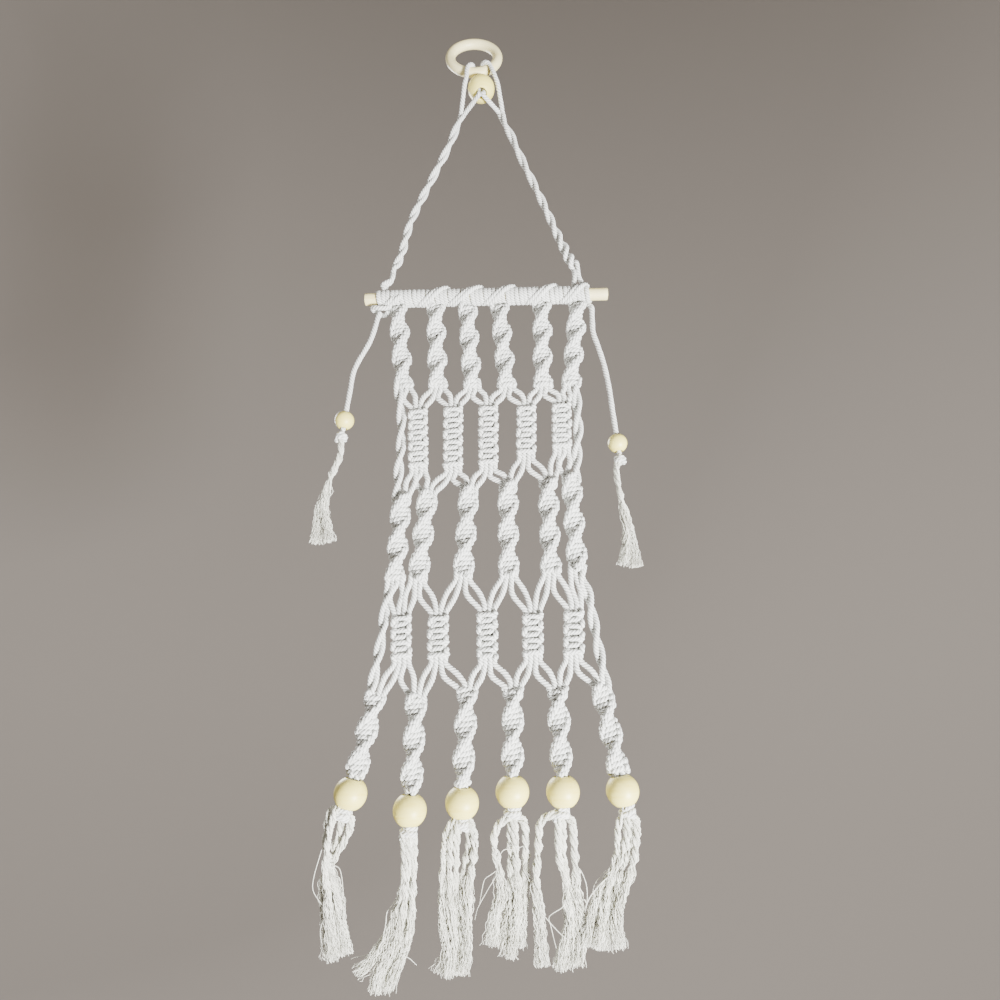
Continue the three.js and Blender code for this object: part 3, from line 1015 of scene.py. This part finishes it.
row_1 = add_spirals(1, "bar")
row_2 = add_squares(2, "row_2")
row_3 = add_spirals(3, "row_3")
row_4 = add_squares(4, "row_4")
row_5 = [lower_strand(i) for i in range(1, 7)]

add_links(2, "above", row_1, row_2)
add_links(2, "below", row_2, row_3)
add_links(4, "above", row_3, row_4)
add_links(4, "below", row_4, row_5)

EDGE_ROUTES = {
    (2, "left"): ((-54.5, -322), (-52, -338), (-51.5, -362), (-52.5, -382)),
    (2, "right"): ((80, -322), (80.5, -334), (80.8, -350), (79.5, -368)),
    (4, "left"): ((-56, -469), (-58.5, -480), (-60, -500), (-63, -520)),
    (4, "right"): ((81, -464), (85, -475), (88, -494), (91, -513)),
}
for (row, side), route in EDGE_ROUTES.items():
    uppers, lowers = (row_1, row_3) if row == 2 else (row_3, row_5)
    i = 0 if side == "left" else 5
    add_edge_pair(row, side, uppers[i], lowers[i], route)

# ---- lower strands


KNOT_SIZE = 0.0128
SIDE_KNOT_SIZE = 0.0085
KNOT_BELOW = 0.0035  # a knot's middle lies this far below its bead
KNOT_TURNS = (-0.30, 1.20)  # where on its way round a knot's cord starts and ends
KNOT_REACH = 0.33  # of a knot's size: from its middle to its cords,
KNOT_CLIMB = 0.20  # from its middle up and down to a cord's ends,
KNOT_GAP = 0.16  # and between its two cords
KNOT_DEPTH = 0.8  # a knot is flatter than wide


def knot_cords(centre, down, size, lean):
    """Two cords wound round a bundle as an overhand knot shows: a slanting turn and a half."""
    across = np.array([-down[2], 0.0, down[0]])
    made = []
    for k in range(2):
        turn = np.linspace(*KNOT_TURNS, 15) * 2 * math.pi + 2.4 * k
        reach = size * (KNOT_REACH + 0.03 * np.sin(turn * 1.5 + k))
        u = reach * np.cos(turn)
        w = -reach * KNOT_DEPTH * np.sin(turn)
        along = (np.linspace(-KNOT_CLIMB, KNOT_CLIMB, 15) + (k - 0.5) * KNOT_GAP) * size
        along = along + u * math.tan(lean) * (1 - 1.6 * k)
        points = centre + np.outer(u, across) + np.outer(w, FORWARD) + np.outer(along, down)
        made.append(cord(points, KNOTTED_CORD))
    return made


PLIES = 3
THREAD_STEP = 0.0017  # distance between the rings of a thread's mesh
STRAY_STEP = 0.0012  # and of a stray thread's
PLY_TURN = 0.019  # length in which a strand's plies go once round
PLY_OUT = 0.56  # of a strand's half width: from its middle to the middle of a ply
PLY_WIDTH = 0.46  # and half the width of a ply
PARTS_AT = 0.15  # share of its length at which a strand starts to part into threads
PARTS_OVER = 0.55
ASTRAY = 0.0035  # how far the odd thread stands out of its strand,
ASTRAY_SHARE = 0.08  # and how many do
WAVE = (0.004, 0.009)  # length of a thread's waves
CRIMP = 0.00022  # their height
FRAY = 0.0016  # how far the threads' tips are spread
STRAND_DEPTH = 0.85  # a strand is flatter than wide


def strand_threads(route, widths):
    """An unravelling cord: near the knot its threads still lie in three plies, and towards
    its end they part and mix."""
    line = evenly(smooth(route), THREAD_STEP)
    share = np.linspace(0, 1, len(line))
    _, side, other = frames_along(line)
    run = share * length_of(line)
    widen = widths[0] + (widths[1] - widths[0]) * share**2.2
    loose = np.clip((share - PARTS_AT) / PARTS_OVER, 0, 1) ** 1.2
    turn = -2 * math.pi * run / PLY_TURN * (1 - 0.3 * share)
    threads = []
    for k in range(THREADS):
        astray = ASTRAY * chance.uniform() * np.sin(math.pi * np.clip(share * 3 - 1.2, 0, 1))
        astray = astray if chance.uniform() < ASTRAY_SHARE else 0.0
        ply = 2 * math.pi * (k % PLIES) / PLIES
        start = chance.uniform(0, 2 * math.pi)
        place = math.sqrt(chance.uniform(0.02, 1))
        bow = 2 * math.pi * run / chance.uniform(*WAVE) + start
        lift = CRIMP * chance.uniform(0.5, 1.5) * (0.5 + 2.4 * loose)
        fray = chance.normal(0, FRAY, 2)[:, None] * share**7
        out = widen * PLY_OUT * (1 - loose)
        in_ply = widen * PLY_WIDTH * place * (1 - loose)
        u = out * np.cos(turn + ply) + in_ply * np.cos(2.4 * turn + start)
        w = out * np.sin(turn + ply) + in_ply * np.sin(2.4 * turn + start)
        spread_out = widen * place * loose + astray
        u += spread_out * np.cos(0.35 * turn + start) + lift * np.sin(bow) + fray[0]
        w += spread_out * np.sin(0.35 * turn + start) + lift * np.cos(bow / 1.3) + fray[1]
        short = int(abs(chance.normal(0, 1.1)))
        thread = line + side * u[:, None] + other * w[:, None] * STRAND_DEPTH
        threads.append(thread[: len(line) - short])
    return threads


# Each tassel's strands, as how far forward one lies and its way down: (across, down)
# millimetres from the tassel's knot. STRAYS are its stray threads.
TASSELS = {
    1: (
        (1, ((-4, -5), (-8, 0), (-9, 8), (-9, 18), (-6, 30), (0, 48), (3, 66), (7, 82))),
        (4, ((-3, -5), (-5, 2), (-7, 12), (-8, 30), (-6, 48), (-3, 66), (0, 84))),
        (-3, ((0, -5), (0, 3), (-2, 14), (-6, 30), (-3, 48), (0, 66), (4, 82))),
        (-1, ((2, -4), (6, 2), (5, 10), (0, 20), (-8, 34), (-9, 48), (-6, 66), (-4, 84))),
    ),
    2: (
        (2, ((-3, -2), (-2, 12), (-2, 26), (-4, 39), (-10, 58), (-16, 68), (-22, 76), (-30, 81))),
        (3, ((0, -2), (1, 12), (-1, 39), (-3, 52), (-6, 64), (-16, 82), (-18, 92))),
        (-1, ((3, -2), (4, 12), (4, 26), (3, 52), (0, 65), (-4, 76), (-8, 84), (-11, 92))),
        (-3, ((1, -2), (2, 12), (1, 26), (0, 52), (-3, 65), (-7, 76), (-12, 84), (-14, 92))),
    ),
    3: (
        (2, ((-3, -4), (-8, 2), (-10, 9), (-11, 24), (-11, 41), (-10, 59), (-8, 75), (-12, 86))),
        (3, ((-1, -3), (-4, 3), (-7, 9), (-7, 24), (-7, 41), (-6, 59), (-5, 75), (-8, 87))),
        (-1, ((0, -3), (-3, 9), (-3, 24), (-3, 41), (-4, 59), (-2, 75), (-4, 87))),
        (-2, ((2, -3), (5, 5), (5, 14), (2, 28), (1, 41), (1, 59), (2, 75), (-1, 87))),
        (1, ((4, -4), (8, 4), (9, 14), (7, 28), (5, 41), (4, 59), (4, 75), (1, 86))),
    ),
    4: (
        (2, ((-2, 2), (-9, 7), (-12, 16), (-10, 28), (-8, 39), (-8, 50), (-11, 60), (-14, 77))),
        (0, ((1, 2), (2, 24), (3, 37), (3, 50), (2, 62), (-2, 85))),
        (-3, ((4, 2), (8, 7), (9, 16), (8, 41), (6, 54), (4, 80))),
        (-2, ((0, 3), (-1, 11), (-1, 50), (-3, 62), (-7, 80))),
    ),
    5: (
        (2, ((-5, 0), (-13, 4), (-15, 13), (-16, 27), (-17, 40), (-15, 64), (-14, 89))),
        (1, ((-2, 2), (-2, 27), (2, 40), (3, 52), (4, 64), (1, 75), (-3, 91))),
        (-1, ((0, 2), (1, 12), (1, 27), (6, 52), (7, 62), (5, 75), (0, 90))),
        (0, ((2, 0), (7, 5), (8, 14), (9, 40), (11, 64), (11, 75), (8, 89))),
    ),
    6: (
        (2, ((-2, 0), (-6, 6), (-7, 13), (-8, 24), (-13, 36), (-20, 46), (-25, 59), (-29, 77))),
        (3, ((-1, 2), (-1, 12), (-4, 22), (-15, 44), (-18, 56), (-24, 79))),
        (-2, ((1, 1), (3, 10), (1, 21), (-5, 36), (-13, 57), (-18, 81))),
        (0, ((3, 0), (6, 7), (5, 19), (2, 32), (-8, 56), (-10, 67), (-8, 80))),
    ),
}
STRAYS = {
    1: (
        ((-11, 20), (-15, 36), (-15, 44), (-10, 51), (-6, 56), (-9, 66), (-8, 74)),
        ((-3, 29), (1, 31), (3, 37), (4, 44), (6, 54), (5, 60)),
    ),
    2: (
        ((-3, 70), (-1, 71), (3, 72), (8, 76)),
        ((-4, 70), (-2, 69), (3, 67), (0, 66)),
    ),
    3: (
        ((-11, 44), (-13, 48), (-11, 55), (-9, 61), (-8, 68), (-4, 73)),
        ((-13, 46), (-8, 48), (-1, 48), (2, 43)),
    ),
    4: (
        ((-10, 26), (-8, 24), (-5, 21), (1, 21), (7, 19)),
        ((-11, 37), (-12, 39), (-16, 45), (-22, 55), (-24, 62)),
        ((-11, 34), (-14, 36), (-18, 39), (-20, 47), (-21, 53)),
    ),
    5: (
        ((0, 53), (-1, 55), (-9, 60), (-8, 66), (-5, 78)),
        ((-14, 58), (-12, 60), (-2, 70), (5, 74)),
        ((10, 32), (12, 34), (15, 42), (15, 52), (12, 58)),
    ),
    6: (
        ((-9, 54), (-6, 61), (-7, 68), (-9, 74)),
        ((-14, 37), (-20, 42), (-27, 50), (-30, 58)),
    ),
}
KNOT_ASIDE = {1: -0.002, 5: -0.002}  # these knots hang a little to the left of their beads
STRAY_FORWARD = 4.5  # millimetres
STRAND_RISE = 0.002  # a strand starts this far up in its knot
TASSEL_BEND = 0.014  # a length below a tassel's knot, passed to bend_over


def hanging(knot_at, route, forward):
    """Points in metres from (across, down) millimetres below a knot."""
    return [knot_at + np.array((across, -forward, -down)) / 1000 for across, down in route]


def add_tassel(body, upper, knot_at, strands, strays, widths):
    threads = []
    for forward, route in strands:
        strand = [knot_at - (0, 0, STRAND_RISE), *hanging(knot_at, route, forward)]
        threads += strand_threads(strand, widths)
    for route in strays:
        threads.append(evenly(smooth(hanging(knot_at, route, STRAY_FORWARD)), STRAY_STEP))
    piece = thread_object(f"{body}_threads", threads)
    piece.data.materials.append(fringe)
    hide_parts(body)
    bend_over(piece, upper, body, f"{body}_swing", before=0.0, after=TASSEL_BEND)


def add_lower_strand(i, sinnet, phase):
    """A lower sinnet with its cords through the bead, the knot, the bead and the tassel."""
    node, body = f"spiral_5_{i}", f"strand_{i}"
    low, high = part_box(f"bead_{i}")
    knot_at = sinnet.at(KNOT_ASIDE.get(i, 0), 0, sinnet.length + (high[2] - low[2]) + KNOT_BELOW)
    cords = spiral_cords(sinnet, after=-0.001, phase=phase)
    knot_down = float(np.dot(knot_at - sinnet.top, sinnet.down))
    inside = np.linspace(sinnet.length - 0.006, knot_down, 8)
    reach = CORE_SIDE * 0.95
    for u, w in ((-1, -1), (1, -1), (-1, 1), (1, 1)):
        cords.append(Cord(evenly(sinnet.at(u * reach, w * reach, inside)), KNOTTED_CORD))
    cords += knot_cords(knot_at, sinnet.down, KNOT_SIZE, math.radians(-24 + 12 * (i % 3)))
    stand_for(cord_object(f"{node}_knots", cords), node, body)
    add_bead(f"bead_{i}", f"bead_{i}", BEAD_BORE, sinnet.down)
    add_tassel(f"tassel_{i}", body, knot_at, TASSELS[i], STRAYS[i], TASSEL_WIDTHS)


for i, (sinnet, phase) in enumerate(zip(row_5, SPIRAL_PHASE[5]), 1):
    add_lower_strand(i, sinnet, phase)

SIDE_TASSELS = {
    "left": (
        (0, ((0, 0), (0, 14), (-2, 22), (-6, 30), (-10, 47), (-13, 56), (-15, 81))),
        (1, ((0, 0), (0, 14), (-3, 22), (-8, 38), (-10, 47), (-9, 58), (-5, 80))),
    ),
    "right": (
        (0, ((-1, -1), (-3, 8), (-1, 27), (4, 47), (6, 58), (9, 80))),
        (1, ((-1, -1), (-3, 8), (-1, 27), (2, 47), (2, 61), (-1, 79))),
    ),
}


def add_side_end(side):
    """Bead, knot and tassel of a side strand."""
    rope, line = side_cords[side]
    end = line[-1] - line[-8]
    down = end / np.linalg.norm(end)
    bead = add_bead(f"side_bead_{side}", f"side_bead_{side}", SMALL_BORE, down)
    body, strand = f"side_tassel_{side}", f"side_strand_{side}"
    knot_at, _ = hinge(f"{body}_swing")
    wound = knot_cords(knot_at, down, SIDE_KNOT_SIZE, math.radians(24))
    knot = cord_object(f"{body}_knot", wound)
    stand_for(knot, body, strand)
    add_tassel(body, strand, knot_at, SIDE_TASSELS[side], (), SIDE_TASSEL_WIDTHS)


# The side cords' first turn, in millimetres.
SIDE_STARTS = {
    "left": (
        (-64.5, 0, -246), (-64.2, -2.4, -249.5), (-66.5, -4.6, -252), (-71, -5.2, -252.4),
        (-75.6, -3.6, -251.2), (-77.4, 0, -249.8), (-75.6, 3.6, -251), (-71, 5, -253),
        (-66.9, 2.6, -254.2), (-65.2, 0.2, -252.5),
    ),
    "right": ((90, 3, -243), (92, 1.8, -246), (94, 0.5, -249), (94, 0, -252)),
}


def add_side_starts():
    """The side cords' first turn where they leave the wrapped dowel."""
    for side, route in SIDE_STARTS.items():
        piece = cord_object(f"side_cord_{side}_start", [cord(in_metres(route))])
        stand_for(piece, "dowel_wrap", "bar")


for side in SIDE_ROUTES:
    add_side_end(side)
add_side_starts()

# ---- floor and light

WORLD = ((0.93, 0.96, 1.0, 1), 0.40)  # colour and strength
LIT = (0.01, 0, -0.40)  # the point that all lights face
# Each light's place, size and power.
LIGHTS = {
    "key": ((0.80, -1.00, -1.20), 0.40, 138),
    "top": ((-0.6, -0.9, 0.7), 0.7, 6),
    "back": ((-0.9, 1.3, 0.3), 0.8, 44),
}


def add_stage():
    profile = [(0.001, FLOOR), (STUDIO - SWEEP, FLOOR)]
    profile += arc((STUDIO - SWEEP, FLOOR + SWEEP), SWEEP, -math.pi / 2, 0, 24)[1:]
    profile.append((STUDIO, FLOOR + 5.0))
    sweep = lathe("studio_floor", profile[::-1], 96, placed((0, 0, 0), (0, 0, 1)), closed=False)
    finish = Finish("studio_floor", 0.9)
    finish.shader.inputs["Base Color"].default_value = (0.33, 0.30, 0.27, 1)
    sweep.data.materials.append(finish.material)


def add_light(name, place, size, power):
    light = bpy.data.lights.new(name, "AREA")
    light.shape = "DISK"
    light.size = size
    light.energy = power
    made = bpy.data.objects.new(name, light)
    made.location = place
    way = Vector(LIT) - Vector(place)
    made.rotation_euler = way.to_track_quat("-Z", "Y").to_euler()
    bpy.context.scene.collection.objects.link(made)


def add_world():
    world = bpy.data.worlds.new("studio")
    world.use_nodes = True
    background = world.node_tree.nodes["Background"]
    background.inputs["Color"].default_value, background.inputs["Strength"].default_value = WORLD
    bpy.context.scene.world = world


add_stage()
add_world()
for name, (place, size, power) in LIGHTS.items():
    add_light(name, place, size, power)
